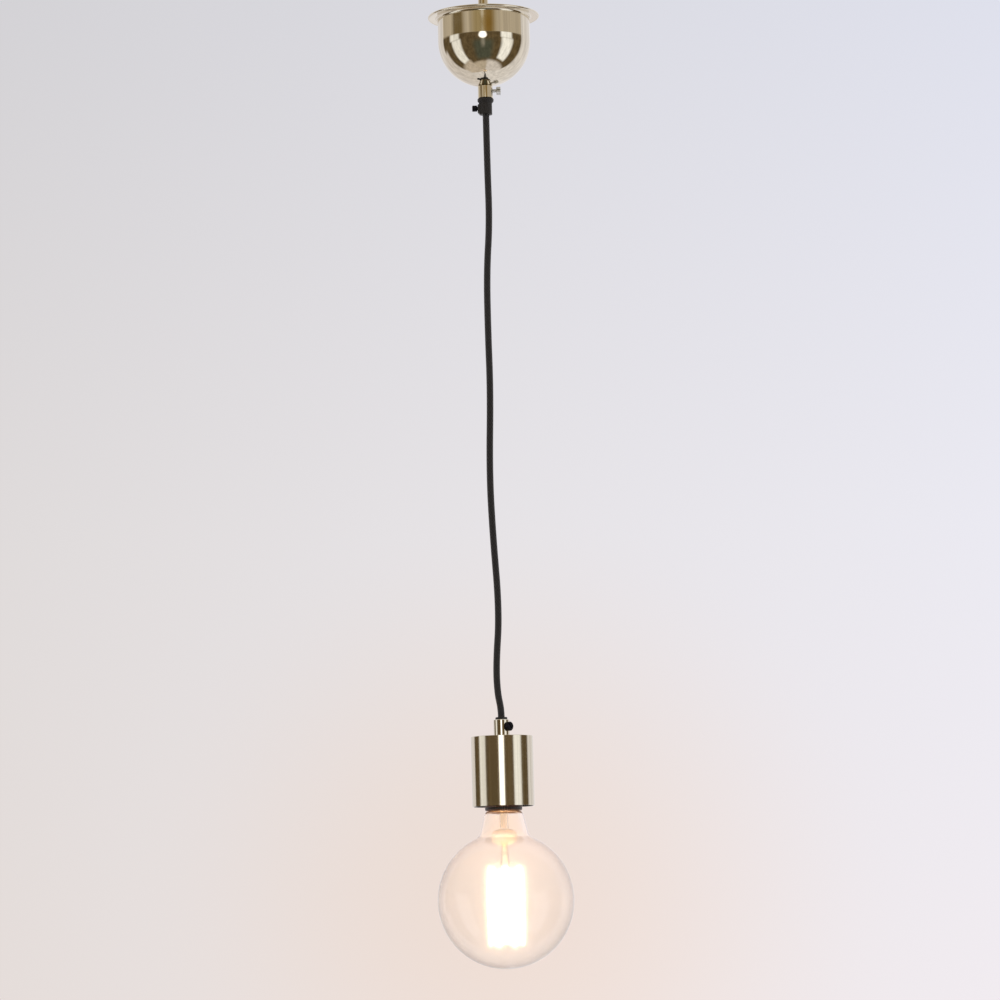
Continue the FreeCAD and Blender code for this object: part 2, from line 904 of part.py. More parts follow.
def glass_stem():
    disc_top, disc_bottom, button, cage_top = stem_levels()
    disc_mid = (disc_top + disc_bottom) / 2
    cage_bottom = cage_top - cage_h
    flare_top = cap_edge_z + glass_in_cap
    flare = stem_flare_r - stem_r
    bore_r = stem_r - stem_wall
    centre = (stem_flare_r, flare_top - stem_wall - flare)
    return turned(
        (stem_flare_r, flare_top - stem_wall),
        [
            arc(centre, flare, 90, 180),
            (stem_r, disc_top),
            ((stem_disc_r, disc_mid), (stem_r - edge, disc_bottom)),
            (stem_rod_r, disc_bottom - stem_cone_h),
            (stem_rod_r, button + button_h / 2),
            ((button_r, button), (stem_rod_r, button - button_h / 2)),
            (low_rod_r, button - button_h / 2),
            (low_rod_r, cage_bottom + low_button_r),
            (low_button_r, cage_bottom + low_button_r / 2),
            (low_button_r, cage_bottom),
            (low_rod_r, cage_bottom - low_button_r / 2),
            (0, cage_bottom - low_button_r / 2),
            (0, disc_top + stem_wall),
            (bore_r, disc_top + stem_wall),
            (bore_r, centre[1]),
            arc(centre, flare + stem_wall, 180, 90),
        ],
    )


def bar_place(k):
    turn = 2 * math.pi * (k + 0.5) / filament_bars - math.pi / 2
    return cage_r * math.cos(turn), cage_r * math.sin(turn)


def bend_radius():
    """Half of the distance between two bars side by side."""
    return cage_r * math.sin(math.pi / filament_bars)


def filament():
    """Hairpin filament: upright bars on a circle, joined by half rings at top and bottom."""
    cage_top = stem_levels()[3]
    bend = bend_radius()
    high = cage_top - bend
    low = cage_top - cage_h + bend
    edges = []
    for k in range(filament_bars):
        x, y = bar_place(k)
        start, end = (high, low) if k % 2 == 0 else (low, high)
        edges.append(Part.LineSegment(point(x, y, start), point(x, y, end)).toShape())
        if k < filament_bars - 1:
            next_x, next_y = bar_place(k + 1)
            out = bend if end == high else -bend
            middle = point((x + next_x) / 2, (y + next_y) / 2, end + out)
            edges.append(
                Part.Arc(point(x, y, end), middle, point(next_x, next_y, end)).toShape()
            )
    wire = Part.Wire(edges)
    x, y = bar_place(0)
    ring = Part.Wire([Part.makeCircle(filament_r, point(x, y, high), UP)])
    solid = wire.makePipeShell([ring], True, True)
    expected = math.pi * filament_r ** 2 * wire.Length
    print(f"filament: length {wire.Length:.1f}, bend {bend:.2f},"
          f" volume {solid.Volume / expected:.4f} of section times length")
    return solid


def hook_wires():
    """Thin wires from the two glass buttons out to the filament's bends."""
    button, cage_top = stem_levels()[2:]
    low_z = cage_top - cage_h
    wires = []
    for k in range(filament_bars - 1):
        x, y = bar_place(k)
        next_x, next_y = bar_place(k + 1)
        x, y = (x + next_x) / 2, (y + next_y) / 2
        if k % 2 == 0:      # a lower bend
            end = point(x, y, low_z + filament_r)
            start = point(0, 0, low_z + hook_rise)
        else:
            end = point(x, y, cage_top - filament_r)
            start = point(0, 0, button - hook_rise)
        way = (end - start).normalize()
        wires.append(bar(hook_r, start + way * hook_root, end - way * hook_short))
    return Part.makeCompound(wires)


def lead_wires():
    """The two wires that carry current from the stem's disc to the filament's ends."""
    disc_bottom = stem_levels()[1]
    end_z = stem_levels()[3] - bend_radius() + lead_gap
    wires = []
    for k in (0, filament_bars - 1):
        x, y = bar_place(k)
        top = point(lead_root * x, lead_root * y, disc_bottom + lead_sunk)
        wires.append(bar(lead_r, top, point(x, y, end_z)))
    return Part.makeCompound(wires)


nodes = {
    "hanging_eye": hanging_eye(),
    "carrier_tube": carrier_tube(),
    "ceiling_cup": ceiling_cup(),
    "cup_collar": cup_collar(),
    "collar_screw": collar_screw(),
    "upper_grip_body": upper_grip_body(),
    "upper_grip_screw": upper_grip_screw(),
    "cord_upper": cord_upper(),
    "core_live_upper": upper_core("core_live_upper", 60, 1),
    "core_neutral_upper": upper_core("core_neutral_upper", -60, -1),
    "core_earth_upper": upper_core("core_earth_upper", 180, 0, 2.2),
    "terminal_block": terminal_block(),
    "terminal_screws": terminal_screws(),
    "cord": cord(),
    "lower_grip_insert": lower_grip_insert(),
    "lower_grip_sleeve": lower_grip_sleeve(),
    "lower_grip_screw": lower_grip_screw(),
    "cord_lower": cord_lower(),
    "core_live_lower": lower_core("core_live_lower", 1),
    "core_neutral_lower": lower_core("core_neutral_lower", -1),
    "nipple": nipple(),
    "lamp_cup": lamp_cup(),
    "cup_washer": cup_washer(),
    "cup_nut": cup_nut(),
    "holder_dome": holder_dome(),
    "holder_skirt": holder_skirt(),
    "contact_carrier": contact_carrier(),
    "holder_screws": holder_screws(),
    "thread_shell": thread_shell(),
    "centre_contact": centre_contact(),
    "side_contact": side_contact(),
    "bulb_glass": bulb_glass(),
    "bulb_cap": bulb_cap(),
    "bulb_insulator": bulb_insulator(),
    "bulb_tip": bulb_tip(),
    "glass_stem": glass_stem(),
    "filament": filament(),
    "hook_wires": hook_wires(),
    "lead_wires": lead_wires(),
}

os.makedirs("parts", exist_ok=True)
for name, shape in nodes.items():
    shape.exportStep(f"parts/{name}.step")
    print(name, "valid" if shape.isValid() else "NOT VALID", len(shape.Solids), "solid(s)",
          round(shape.Volume, 1), "mm3")
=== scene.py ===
import json
import math

import bmesh
import bpy
import numpy as np
from mathutils import Matrix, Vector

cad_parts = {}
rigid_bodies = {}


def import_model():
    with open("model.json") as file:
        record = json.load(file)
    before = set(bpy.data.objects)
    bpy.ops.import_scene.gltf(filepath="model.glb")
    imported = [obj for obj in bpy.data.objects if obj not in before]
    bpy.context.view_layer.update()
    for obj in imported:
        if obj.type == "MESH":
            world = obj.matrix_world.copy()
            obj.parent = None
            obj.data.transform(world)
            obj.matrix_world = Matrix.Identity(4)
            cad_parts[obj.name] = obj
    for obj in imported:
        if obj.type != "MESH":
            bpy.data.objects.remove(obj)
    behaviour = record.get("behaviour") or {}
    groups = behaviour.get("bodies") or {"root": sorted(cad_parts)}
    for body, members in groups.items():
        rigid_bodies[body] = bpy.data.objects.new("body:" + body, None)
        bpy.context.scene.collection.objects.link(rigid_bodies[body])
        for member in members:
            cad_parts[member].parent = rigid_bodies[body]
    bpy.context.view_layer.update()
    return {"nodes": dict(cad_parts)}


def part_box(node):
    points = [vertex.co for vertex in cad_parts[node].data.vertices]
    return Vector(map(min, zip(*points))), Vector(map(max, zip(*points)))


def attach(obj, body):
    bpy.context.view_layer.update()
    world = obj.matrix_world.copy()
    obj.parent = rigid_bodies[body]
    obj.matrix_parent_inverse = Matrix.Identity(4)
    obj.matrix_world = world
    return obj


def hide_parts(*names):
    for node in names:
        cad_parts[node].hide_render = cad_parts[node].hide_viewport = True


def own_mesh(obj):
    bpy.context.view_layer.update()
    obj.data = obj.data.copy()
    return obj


for old in list(bpy.data.objects):
    bpy.data.objects.remove(old)

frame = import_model()
nodes = frame["nodes"]
print("frame loaded:", len(nodes), "pieces")


# an sRGB hex colour as linear red, green, blue and 1
def linear(hexText):
    parts = [int(hexText[i:i + 2], 16) / 255 for i in (0, 2, 4)]
    return tuple(p / 12.92 if p <= 0.04045 else ((p + 0.055) / 1.055) ** 2.4 for p in parts) + (1.0,)


# adds a node and sets its properties and inputs; an input takes a value, a socket, or another node, which
# stands for the first of its outputs that is in use
def addNode(tree, kind, inputs=None, **settings):
    node = tree.nodes.new(kind)
    for name, value in settings.items():
        setattr(node, name, value)
    for key, value in (inputs or {}).items():
        if isinstance(value, bpy.types.Node):
            value = next(socket for socket in value.outputs if socket.enabled)
        if isinstance(value, bpy.types.NodeSocket):
            tree.links.new(value, node.inputs[key])
        else:
            node.inputs[key].default_value = value
    return node


def newMaterial(name):
    mat = bpy.data.materials.new(name)
    mat.use_nodes = True
    mat.node_tree.nodes.clear()
    return mat, mat.node_tree


def dress(material, *names):
    for name in names:
        mesh = nodes[name].data
        mesh.materials.clear()
        mesh.materials.append(material)


mergeWithin = 1e-7


# a skin over a grid of points [along, across]: one quad a cell, the last column joined to the first, doubled
# points merged; the map "skin" runs from 0 to 1 across and along
def gridPiece(name, points, material, body=None):
    rows, cols = points.shape[:2]
    r, c = np.meshgrid(np.arange(rows - 1), np.arange(cols), indexing="ij")
    c2 = (c + 1) % cols
    quads = np.stack([r * cols + c, r * cols + c2, (r + 1) * cols + c2, (r + 1) * cols + c], -1)
    u = np.stack([c, c + 1, c + 1, c], -1).reshape(-1) / cols
    v = np.stack([r, r, r + 1, r + 1], -1).reshape(-1) / (rows - 1)
    mesh = bpy.data.meshes.new(name)
    mesh.from_pydata(points.reshape(-1, 3).tolist(), [], quads.reshape(-1, 4).tolist())
    uvMap = mesh.uv_layers.new(name="skin")
    uvMap.data.foreach_set("uv", np.stack([u, v], -1).astype(np.float32).ravel())
    shell = bmesh.new()
    shell.from_mesh(mesh)
    bmesh.ops.remove_doubles(shell, verts=shell.verts, dist=mergeWithin)
    bmesh.ops.recalc_face_normals(shell, faces=shell.faces)
    shell.to_mesh(mesh)
    shell.free()
    mesh.polygons.foreach_set("use_smooth", np.ones(len(mesh.polygons), bool))
    mesh.materials.append(material)
    piece = bpy.data.objects.new(name, mesh)
    bpy.context.scene.collection.objects.link(piece)
    if body:
        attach(piece, body)
    return piece


# rings of points along a path: radius times cosine of turn one way across it, plus sine the other way; both
# ways are carried from point to point without twist
def tubeGrid(path, radius, sides):
    step = np.gradient(path, axis=0)
    step /= np.linalg.norm(step, axis=1)[:, None]
    side = np.zeros_like(path)
    first = np.cross(step[0], (0.0, 1.0, 0.0))
    side[0] = first / np.linalg.norm(first)
    for i in range(1, len(path)):
        moved = side[i - 1] - step[i] * np.dot(side[i - 1], step[i])
        side[i] = moved / np.linalg.norm(moved)
    other = np.cross(step, side)
    turn = np.linspace(0, 2 * math.pi, sides, endpoint=False)[None, :, None]
    return path[:, None, :] + radius * (np.cos(turn) * side[:, None, :] + np.sin(turn) * other[:, None, :])


# a turned form, a ring for each height: x and y are the radius times the cosine and the sine of turn
def turnedGrid(radius, height, turn):
    radius = np.broadcast_to(radius, (len(height), len(turn)))
    return np.stack([radius * np.cos(turn), radius * np.sin(turn),
                     np.broadcast_to(height[:, None], radius.shape)], -1)


cameraSet = {
    "place": (0.0039, -3.870, -0.934),
    "pitchDeg": 6.4,        # looks up
    "rollDeg": 1.47,        # takes up the lean of the photo's whole line
    "lens": 151.8,
    "sensor": 36,
}


def makeCamera(s):
    data = bpy.data.cameras.new("camera")
    data.sensor_fit = "HORIZONTAL"
    data.sensor_width = s["sensor"]
    data.lens = s["lens"]
    cam = bpy.data.objects.new("camera", data)
    bpy.context.scene.collection.objects.link(cam)
    pitch, roll = math.radians(s["pitchDeg"]), math.radians(s["rollDeg"])
    forward = np.array((0, math.cos(pitch), math.sin(pitch)))
    level = np.array((1.0, 0, 0))
    above = np.cross(level, forward)
    right = math.cos(roll) * level - math.sin(roll) * above
    up = np.cross(right, forward)
    turn = np.column_stack((right, up, -forward))
    cam.location = s["place"]
    cam.rotation_euler = Matrix(turn.tolist()).to_euler()
    bpy.context.scene.camera = cam
    bpy.context.view_layer.update()


makeCamera(cameraSet)
print("camera placed")


cordSet = {
    "exit": -0.137896,
    "length": 0.5627,
    "radius": 0.0031,
    "shortening": 0.25,       # how much of the cord the drop joint takes up
    "sides": 24,
    "endRings": 3,            # rings that close each end
    "lineSteps": 12,
    "carriers": 16,           # yarn bundles round the braid
    "pitchMm": 22.0,          # length in which a bundle goes once round
    "bundleHigh": 0.0004,
    "lintScale": 900.0,
    "yarnDark": "0F0C0C", "yarnLight": "241E1D", "gap": "080606",
}

# sideways offset and distance below the exit, millimetres
cordRoute = [
    (0.0, 0.0), (0.0, 47.7), (0.8, 101.7), (-3.0, 148.7), (-3.2, 204.7), (-2.4, 260.7), (-5.2, 334.7),
    (-3.7, 390.7), (0.7, 465.7), (-3.5, 513.7), (-3.0, 539.7), (0.0, 555.2), (0.0, 562.7),
]


def braidMaterial(s, length):
    # Braided polyester yarn, dull black: matt, with a soft nap and a diamond relief of crossing bundles, and
    # painted shade in the gaps between them.
    # Its height is one sine's size, for bundles that climb right, times another's, for those that climb left.
    mat, tree = newMaterial("braidedYarnBlack")
    uv = addNode(tree, "ShaderNodeUVMap", uv_map="skin")
    xy = addNode(tree, "ShaderNodeSeparateXYZ", {0: uv})
    turns = length * 1000 / s["pitchMm"]
    half = s["carriers"] / 2
    wave = []
    for sign in (1, -1):
        along = addNode(tree, "ShaderNodeMath", {0: xy.outputs[1], 1: sign * turns * half},
                        operation="MULTIPLY")
        phase = addNode(tree, "ShaderNodeMath", {0: xy.outputs[0], 1: half, 2: along},
                        operation="MULTIPLY_ADD")
        angle = addNode(tree, "ShaderNodeMath", {0: phase, 1: math.pi}, operation="MULTIPLY")
        sine = addNode(tree, "ShaderNodeMath", {0: angle}, operation="SINE")
        wave.append(addNode(tree, "ShaderNodeMath", {0: sine}, operation="ABSOLUTE"))
    braid = addNode(tree, "ShaderNodeMath", {0: wave[0], 1: wave[1]}, operation="MULTIPLY")
    place = addNode(tree, "ShaderNodeTexCoord").outputs["Object"]
    lint = addNode(tree, "ShaderNodeTexNoise", {"Vector": place, "Scale": s["lintScale"], "Detail": 3.0})
    tone = addNode(tree, "ShaderNodeMix", {0: lint, 6: linear(s["yarnDark"]), 7: linear(s["yarnLight"])},
                   data_type="RGBA")
    # painted shade: darker where the relief is low, in the gaps between bundles
    shade = addNode(tree, "ShaderNodeMix", {0: braid, 6: linear(s["gap"]), 7: tone}, data_type="RGBA")
    bump = addNode(tree, "ShaderNodeBump", {"Height": braid, "Strength": 0.7, "Distance": s["bundleHigh"]})
    skin = addNode(tree, "ShaderNodeBsdfPrincipled", {
        "Base Color": shade, "Roughness": 0.82, "Normal": bump, "Sheen Weight": 0.25, "Sheen Roughness": 0.5})
    addNode(tree, "ShaderNodeOutputMaterial", {"Surface": skin})
    return mat


def makeCord(s, route):
    curve = bpy.data.curves.new("cordLine", "CURVE")
    curve.dimensions = "3D"
    curve.resolution_u = s["lineSteps"]
    spline = curve.splines.new("NURBS")
    spline.points.add(len(route) - 1)
    for p, (x, below) in zip(spline.points, route):
        p.co = (x / 1000, 0, s["exit"] - below / 1000, 1)
    spline.order_u = 3
    spline.use_endpoint_u = True
    holder = bpy.data.objects.new("cordLine", curve)
    bpy.context.scene.collection.objects.link(holder)
    bpy.context.view_layer.update()
    line = bpy.data.meshes.new_from_object(holder)
    path = np.array([v.co[:] for v in line.vertices])
    bpy.data.objects.remove(holder)
    length = float(np.linalg.norm(np.diff(path, axis=0), axis=1).sum())
    ends = np.linspace(0, 1, s["endRings"])[:, None, None]
    skin = tubeGrid(path, s["radius"], s["sides"])
    closed = np.concatenate([
        path[0] + (skin[0] - path[0])[None] * ends[:-1],
        skin,
        path[-1] + (skin[-1] - path[-1])[None] * ends[::-1][1:]])
    piece = gridPiece("cordBraid", closed, braidMaterial(s, length), body="hang")
    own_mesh(piece)
    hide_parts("cord")
    print("cord made, length", round(length, 4))


makeCord(cordSet, cordRoute)


studioSet = {
    # the wall behind the lamp: from the picture's bottom to its top, from left to right, and a painted warm
    # glow of the lit bulb near it
    "wallLow": "EDE6E6", "wallMid": "E7E4E7", "wallHigh": "DADAE1", "wallMidAt": 0.45,
    "wallSpan": (-0.006, 0.235),      # sine of the elevation at the picture's bottom and top
    "leftTint": (0.93, 0.915, 0.885), "rightTint": (1.04, 1.06, 1.11), "tintSpan": 0.12, "tintMidAt": 0.52,
    # tints pass 1, where a ramp ends, so they are divided by tintRoom and multiplied by it afterwards
    "tintRoom": 1.2,
    # painted light: the bulb's warm glow on the wall, within bulbReach of bulbAt
    "bulbAt": (0.001, 0.0, 0.017), "paintedBulbGlow": (1.03, 0.93, 0.84), "bulbReach": 0.095,
    "soft": (0.62, 0.62, 0.64, 1),    # what lights dull surfaces from all round
    # what metal mirrors where no row of the list below says otherwise
    "roomDark": "5F5038", "roomLight": "726146", "mottleScale": 7.0, "mottleSpan": (0.35, 0.65),
    "streakStretch": (5.0, 5.0, 1.2), "streakScale": 2.2,
    "streakSpan": (0.3, 0.7), "streakShade": (0.82, 1.12),
    "floorDepth": -2.3, "floorRadius": 9.0, "floorRings": 12, "floorSides": 96,
    "paperDark": "E9DFD8", "paperLight": "EEE5DF",
}

# What polished metal mirrors, in degrees: azimuth from the viewer's side, then elevation, each with its soft
# edge, then a colour and its strength. Later rows cover earlier ones.
mirrored = [
    ((-28, 24, 10), (-56, -8, 8), "575A4D", 1.0),       # far dark end of the room
    ((-190, 190, 1), (-95, -61, 4), "CFC2B2", 1.0),     # pale floor
    ((12, 190, 10), (-95, -58, 5), "ECE6E6", 1.0),
    ((-130, -58, 8), (-95, -50, 5), "D8CBBE", 1.0),
    ((-94, -66, 4), (0, 11.5, 2), "FFFFFF", 1.14),      # left soft box; its lower part lies further right
    ((-89, -62, 4), (-50, 0, 3), "FFFFFF", 1.14),
    ((43, 74, 4), (0, 11.5, 2), "FCFDFF", 1.27),        # right soft box, and its lower part
    ((46, 78, 5), (-50, 0, 3), "FCFDFF", 1.27),
    ((-7, 2, 4), (-24, 2, 8), "C8C2B4", 0.55),          # light spilt below the front lamp
    ((-190, 190, 1), (10.6, 95, 1.4), "C9BDAB", 1.0),   # ceiling
    ((-30, 28, 12), (10.6, 34, 2), "B3A078", 0.95),     # its brown patches
    ((2, 24, 9), (11.5, 15.5, 2), "9C7A3C", 0.85),
    ((-84, -52, 8), (11, 15.5, 2), "8A7650", 0.8),
    ((-200, -124, 4), (-95, 95, 1), "F2EEF0", 1.0),     # wall behind the lamp, on the left
    ((-200, -114, 4), (-60, -8, 4), "F0EAEA", 0.95),
    ((108, 200, 4), (-95, 95, 1), "F6F3F6", 1.0),       # and on the right
]
frontLamp = {"azimuth": -3.0, "elevation": 4.0, "reach": (10.5, 8.0), "fade": (0.6, 1.2), "strength": 2.4}


# 1 where value lies between low and high, fading over soft
def bandMask(tree, value, low, high, soft):
    rise = addNode(tree, "ShaderNodeMapRange", {0: value, 1: low - soft, 2: low + soft, 3: 0.0, 4: 1.0},
                   interpolation_type="SMOOTHSTEP")
    fall = addNode(tree, "ShaderNodeMapRange", {0: value, 1: high - soft, 2: high + soft, 3: 1.0, 4: 0.0},
                   interpolation_type="SMOOTHSTEP")
    return addNode(tree, "ShaderNodeMath", {0: rise, 1: fall}, operation="MULTIPLY")


# the wall that the camera sees: a ramp upwards, times a tint from left to right, times a painted warm glow of
# the lit bulb near it
def paintWall(tree, way, s):
    parts = addNode(tree, "ShaderNodeSeparateXYZ", {0: way})
    low, high = s["wallSpan"]
    height = addNode(tree, "ShaderNodeMapRange", {0: parts.outputs[2], 1: low, 2: high, 3: 0.0, 4: 1.0})
    wall = addNode(tree, "ShaderNodeValToRGB", {0: height})
    wall.color_ramp.elements[0].color = linear(s["wallLow"])
    wall.color_ramp.elements[1].color = linear(s["wallHigh"])
    wall.color_ramp.elements.new(s["wallMidAt"]).color = linear(s["wallMid"])
    across = addNode(tree, "ShaderNodeMapRange", {
        0: parts.outputs[0], 1: -s["tintSpan"], 2: s["tintSpan"], 3: 0.0, 4: 1.0})
    sides = addNode(tree, "ShaderNodeValToRGB", {0: across})
    sides.color_ramp.elements[0].color = (*[v / s["tintRoom"] for v in s["leftTint"]], 1)
    sides.color_ramp.elements[1].color = (*[v / s["tintRoom"] for v in s["rightTint"]], 1)
    sides.color_ramp.elements.new(s["tintMidAt"]).color = (1 / s["tintRoom"],) * 3 + (1,)
    tinted = addNode(tree, "ShaderNodeMix", {0: 1.0, 6: wall, 7: sides},
                     data_type="RGBA", blend_type="MULTIPLY")
    # painted light: the bulb's warm glow, multiplied into the wall near the bulb
    level = addNode(tree, "ShaderNodeVectorMath", {0: way, 1: (1, 0, 1)}, operation="MULTIPLY")
    away = addNode(tree, "ShaderNodeVectorMath", {0: level, 1: s["bulbAt"]}, operation="DISTANCE")
    near = addNode(tree, "ShaderNodeMapRange", {0: away, 1: 0.0, 2: s["bulbReach"], 3: 1.0, 4: 0.0},
                   interpolation_type="SMOOTHSTEP")
    wallWithPaintedGlow = addNode(tree, "ShaderNodeMix", {0: near, 6: tinted, 7: (*s["paintedBulbGlow"], 1)},
                     data_type="RGBA", blend_type="MULTIPLY")
    return addNode(tree, "ShaderNodeMix", {0: 1.0, 6: wallWithPaintedGlow, 7: (s["tintRoom"],) * 3 + (1,)},
                   data_type="RGBA", blend_type="MULTIPLY")


# the room that metal mirrors: a mottled brown under the rows of the list, times tall streaks that break up
# what large areas mirror, under the front lamp
def paintRoom(tree, way, s, rows, front):
    deg = math.radians
    parts = addNode(tree, "ShaderNodeSeparateXYZ", {0: way})
    toViewer = addNode(tree, "ShaderNodeMath", {0: parts.outputs[1], 1: -1.0}, operation="MULTIPLY")
    azimuth = addNode(tree, "ShaderNodeMath", {0: parts.outputs[0], 1: toViewer}, operation="ARCTAN2")
    rise = addNode(tree, "ShaderNodeMath", {0: parts.outputs[2]}, operation="ARCSINE")
    low, high = s["mottleSpan"]
    blotch = addNode(tree, "ShaderNodeTexNoise", {"Vector": way, "Scale": s["mottleScale"], "Detail": 3.0})
    mottle = addNode(tree, "ShaderNodeMapRange", {0: blotch, 1: low, 2: high, 3: 0.0, 4: 1.0})
    look = addNode(tree, "ShaderNodeMix", {0: mottle, 6: linear(s["roomDark"]), 7: linear(s["roomLight"])},
                   data_type="RGBA")
    for (left, right, softA), (bottom, top, softE), colour, strength in rows:
        beside = bandMask(tree, azimuth, deg(left), deg(right), deg(softA))
        above = bandMask(tree, rise, deg(bottom), deg(top), deg(softE))
        mask = addNode(tree, "ShaderNodeMath", {0: beside, 1: above}, operation="MULTIPLY")
        glow = (*[v * strength for v in linear(colour)[:3]], 1)
        look = addNode(tree, "ShaderNodeMix", {0: mask, 6: look, 7: glow}, data_type="RGBA")
    tall = addNode(tree, "ShaderNodeMapping", {"Vector": way, "Scale": s["streakStretch"]})
    streak = addNode(tree, "ShaderNodeTexNoise", {"Vector": tall, "Scale": s["streakScale"], "Detail": 3.0})
    low, high = s["streakSpan"]
    dark, light = s["streakShade"]
    uneven = addNode(tree, "ShaderNodeMapRange", {0: streak, 1: low, 2: high, 3: dark, 4: light})
    look = addNode(tree, "ShaderNodeMix", {0: 1.0, 6: look, 7: uneven},
                   data_type="RGBA", blend_type="MULTIPLY")
    angles = addNode(tree, "ShaderNodeCombineXYZ", {0: azimuth, 1: rise})
    centre = (deg(front["azimuth"]), deg(front["elevation"]), 0)
    reach = (deg(front["reach"][0]), deg(front["reach"][1]), 1)
    offset = addNode(tree, "ShaderNodeVectorMath", {0: angles, 1: centre}, operation="SUBTRACT")
    share = addNode(tree, "ShaderNodeVectorMath", {0: offset, 1: reach}, operation="DIVIDE")
    off = addNode(tree, "ShaderNodeVectorMath", {0: share}, operation="LENGTH")
    full, gone = front["fade"]
    disc = addNode(tree, "ShaderNodeMapRange", {0: off, 1: full, 2: gone, 3: 1.0, 4: 0.0},
                   interpolation_type="SMOOTHSTEP")
    return addNode(tree, "ShaderNodeMix", {0: disc, 6: look, 7: (front["strength"],) * 3 + (1,)},
                   data_type="RGBA")


# the camera and clear glass see the wall, metal mirrors the room, and all else is lit by one soft tone
def makeWorld(s, rows, front):
    world = bpy.data.worlds.new("studio")
    bpy.context.scene.world = world
    world.use_nodes = True
    tree = world.node_tree
    tree.nodes.clear()
    way = addNode(tree, "ShaderNodeTexCoord").outputs["Generated"]
    wall = paintWall(tree, way, s)
    room = paintRoom(tree, way, s, rows, front)
    rays = addNode(tree, "ShaderNodeLightPath")
    seen = addNode(tree, "ShaderNodeMath", {
        0: rays.outputs["Is Camera Ray"], 1: rays.outputs["Is Transmission Ray"]}, operation="MAXIMUM")
    unseen = addNode(tree, "ShaderNodeMix", {0: rays.outputs["Is Glossy Ray"], 6: s["soft"], 7: room},
                     data_type="RGBA")
    final = addNode(tree, "ShaderNodeMix", {0: seen, 6: unseen, 7: wall}, data_type="RGBA")
    sky = addNode(tree, "ShaderNodeBackground", {"Color": final, "Strength": 1.0})
    addNode(tree, "ShaderNodeOutputWorld", {"Surface": sky})


def makeFloor(s):
    # Matt seamless paper on the floor, far below the lamp: a plain pale ground with a faint change of tone
    mat, tree = newMaterial("paperMatt")
    place = addNode(tree, "ShaderNodeTexCoord").outputs["Object"]
    grain = addNode(tree, "ShaderNodeTexNoise", {"Vector": place, "Scale": 3.0, "Detail": 4.0})
    tone = addNode(tree, "ShaderNodeMix", {0: grain, 6: linear(s["paperDark"]), 7: linear(s["paperLight"])},
                   data_type="RGBA")
    paper = addNode(tree, "ShaderNodeBsdfPrincipled", {"Base Color": tone, "Roughness": 0.9})
    addNode(tree, "ShaderNodeOutputMaterial", {"Surface": paper})
    turn = np.linspace(0, 2 * math.pi, s["floorSides"], endpoint=False)
    radii = np.linspace(0, s["floorRadius"], s["floorRings"])
    points = turnedGrid(radii[:, None], np.full(s["floorRings"], s["floorDepth"]), turn)
    floor = gridPiece("floorPaper", points, mat)
    floor.visible_glossy = False      # the world holds the floor that metal mirrors


lampSet = [
    # name, place, width, height, watts, colour
    ("lampLeft", (-2.1, -1.5, 0.5), 1.0, 1.8, 34, "FFFFFF"),
    ("lampRight", (2.2, -1.3, 0.3), 1.0, 1.8, 30, "FBFCFF"),
    ("lampFront", (0.2, -3.2, 0.9), 1.2, 1.2, 14, "FFFDF8"),
    ("lampBack", (0.0, 2.0, 1.0), 1.6, 1.2, 10, "FFFFFF"),
]
lampAim = (0, 0, -0.5)
bulbLight = {"place": (0.0, 0.0, -0.846), "watts": 0.7, "colour": "FFB878", "radius": 0.012}


# a lamp that lights but isn't itself seen or mirrored: the world holds what metal mirrors
def placeLamp(name, kind, place, watts, colour):
    data = bpy.data.lights.new(name, kind)
    data.energy = watts
    data.color = linear(colour)[:3]
    lamp = bpy.data.objects.new(name, data)
    bpy.context.scene.collection.objects.link(lamp)
    lamp.location = place
    lamp.visible_glossy = False
    lamp.visible_transmission = False
    lamp.visible_camera = False
    return lamp


def makeLamps(rows):
    for name, place, width, height, watts, colour in rows:
        lamp = placeLamp(name, "AREA", place, watts, colour)
        lamp.data.shape = "RECTANGLE"
        lamp.data.size = width
        lamp.data.size_y = height
        aim = np.array(lampAim) - np.array(place)
        lamp.rotation_euler = (
            math.atan2(math.hypot(aim[0], aim[1]), -aim[2]), 0, math.atan2(aim[1], aim[0]) - math.pi / 2)


# the filament's own light, on the stem, the neck and the holder's ring: the glass would hold it back, so it
# casts no shadows
def makeBulbLight(s):
    lamp = placeLamp("lampBulb", "POINT", s["place"], s["watts"], s["colour"])
    lamp.data.shadow_soft_size = s["radius"]
    lamp.data.use_shadow = False


makeWorld(studioSet, mirrored, frontLamp)
makeFloor(studioSet)
makeLamps(lampSet)
makeBulbLight(bulbLight)
print("studio ready")


# adds turned or rolled ridges to a surface's normal: their height is the sine of count times the angle round
# an axis, less one turn for each pitch along it, and it is nought above the height "below"
def ridged(tree, place, spec, normal=None):
    offset = addNode(tree, "ShaderNodeVectorMath", {0: place, 1: spec["centre"]}, operation="SUBTRACT")
    parts = addNode(tree, "ShaderNodeSeparateXYZ", {0: offset})
    along = parts.outputs[spec["axis"]]
    first, second = [socket for i, socket in enumerate(parts.outputs) if i != spec["axis"]]
    angle = addNode(tree, "ShaderNodeMath", {0: second, 1: first}, operation="ARCTAN2")
    phase = addNode(tree, "ShaderNodeMath", {0: angle, 1: spec["count"]}, operation="MULTIPLY")
    if "pitchMm" in spec:
        phase = addNode(tree, "ShaderNodeMath", {0: along, 1: -2000 * math.pi / spec["pitchMm"], 2: phase},
                        operation="MULTIPLY_ADD")
    wave = addNode(tree, "ShaderNodeMath", {0: phase}, operation="SINE")
    if "below" in spec:
        low = addNode(tree, "ShaderNodeMath", {0: along, 1: spec["below"]}, operation="LESS_THAN")
        wave = addNode(tree, "ShaderNodeMath", {0: wave, 1: low}, operation="MULTIPLY")
    inputs = {"Height": wave, "Strength": 1.0, "Distance": spec["reliefMm"] / 1000}
    if normal:
        inputs["Normal"] = normal
    return addNode(tree, "ShaderNodeBump", inputs)


